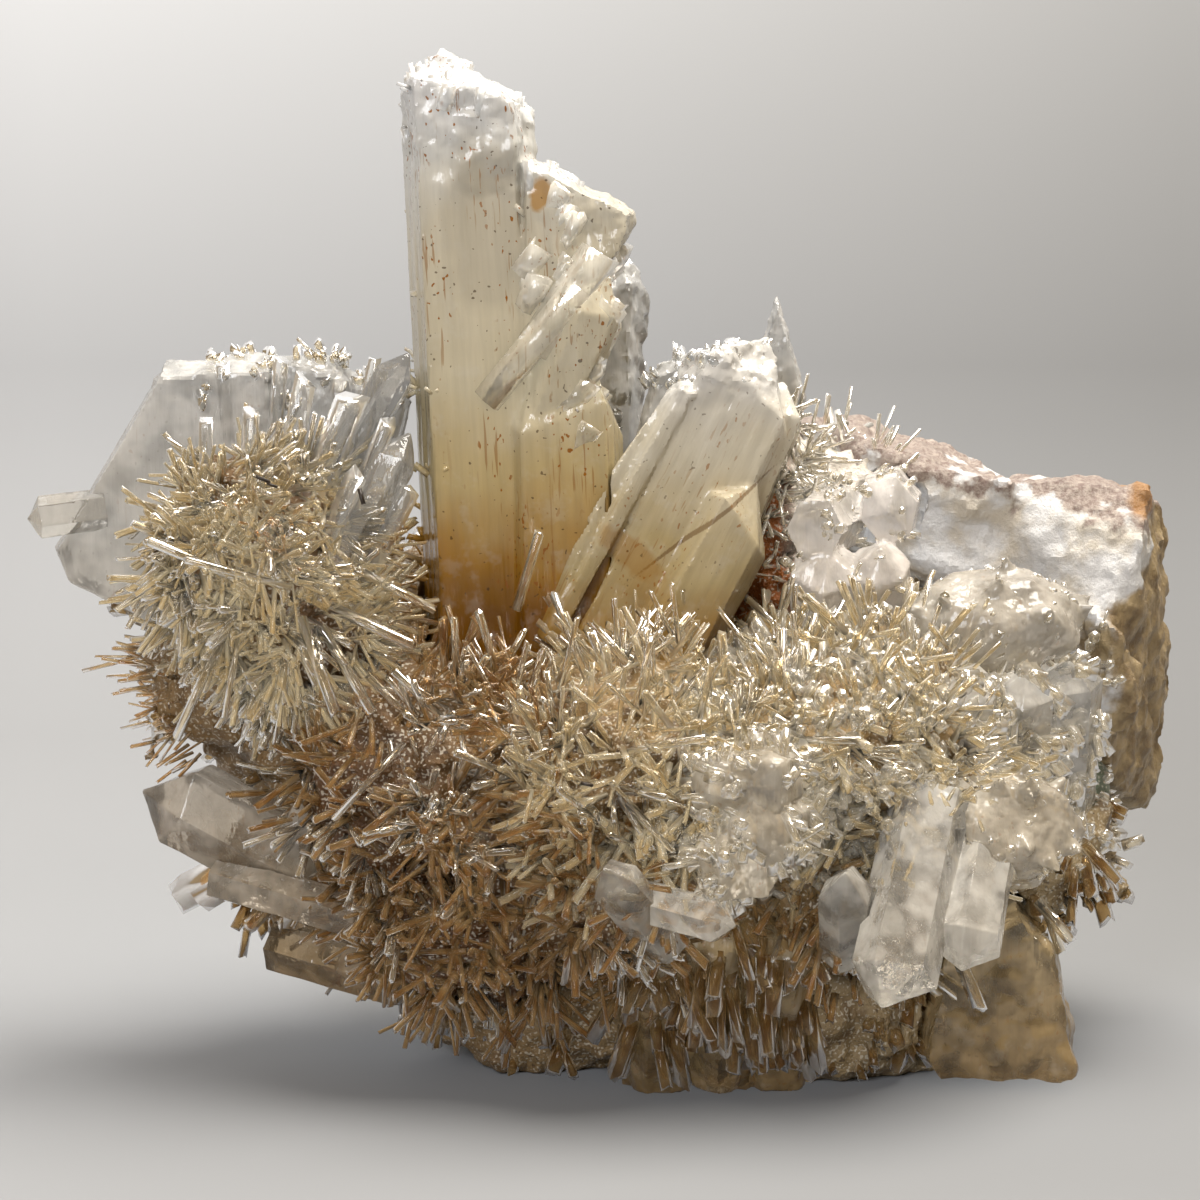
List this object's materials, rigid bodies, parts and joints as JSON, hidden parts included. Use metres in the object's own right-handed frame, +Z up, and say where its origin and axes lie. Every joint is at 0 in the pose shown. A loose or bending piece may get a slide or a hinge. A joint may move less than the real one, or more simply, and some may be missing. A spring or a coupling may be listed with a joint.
{
  "type": "quartz needle cluster",
  "caption": "Natural quartz cluster with a tall milky tower, leaning prisms, balls and crusts of thin clear needles, and drusy masses on a broken massive quartz matrix.",
  "frame": {"origin": "middle of the cluster's bounding box in X and Y, at the height of the flat broken foot that it rests on", "axes": "+X to the right across the front, the longest extent; +Y from the front to the back, the shortest extent; +Z up along the tower crystal"},
  "size_m": [0.2364, 0.1216, 0.2068],
  "materials": {
    "milky_quartz": "translucent milky crystal with glossy faces",
    "massive_quartz": "broken massive quartz, satin to dull",
    "stained_needles": "clear needles over an iron stained ground",
    "clear_quartz": "clear glossy rock crystal"
  },
  "bodies": {
    "root": {"tower_crystal": "milky_quartz", "tower_back_crystal": "milky_quartz", "leaning_crystals": "milky_quartz", "shard_crystal": "milky_quartz", "pale_back_plate": "milky_quartz", "bright_crystal": "clear_quartz", "grey_crystal": "milky_quartz", "left_crystal": "milky_quartz", "left_clear_tip": "clear_quartz", "lower_left_prism": "milky_quartz", "wedge_crystal": "milky_quartz", "lower_left_log": "milky_quartz", "lower_left_stub": "milky_quartz", "front_crystal": "milky_quartz", "front_lying_crystal": "milky_quartz", "drusy_white_group": "milky_quartz", "front_pale_crystal": "milky_quartz", "white_prisms": "milky_quartz", "foot_columns": "milky_quartz", "corner_crystal": "milky_quartz", "pocket_crystals": "milky_quartz", "side_columns": "milky_quartz", "upper_drusy_boulder": "milky_quartz", "lower_drusy_boulder": "milky_quartz", "quartz_block": "massive_quartz", "quartz_matrix": "massive_quartz", "left_needle_ball": "clear_quartz", "needle_crust": "stained_needles"}
  },
  "joints": []
}
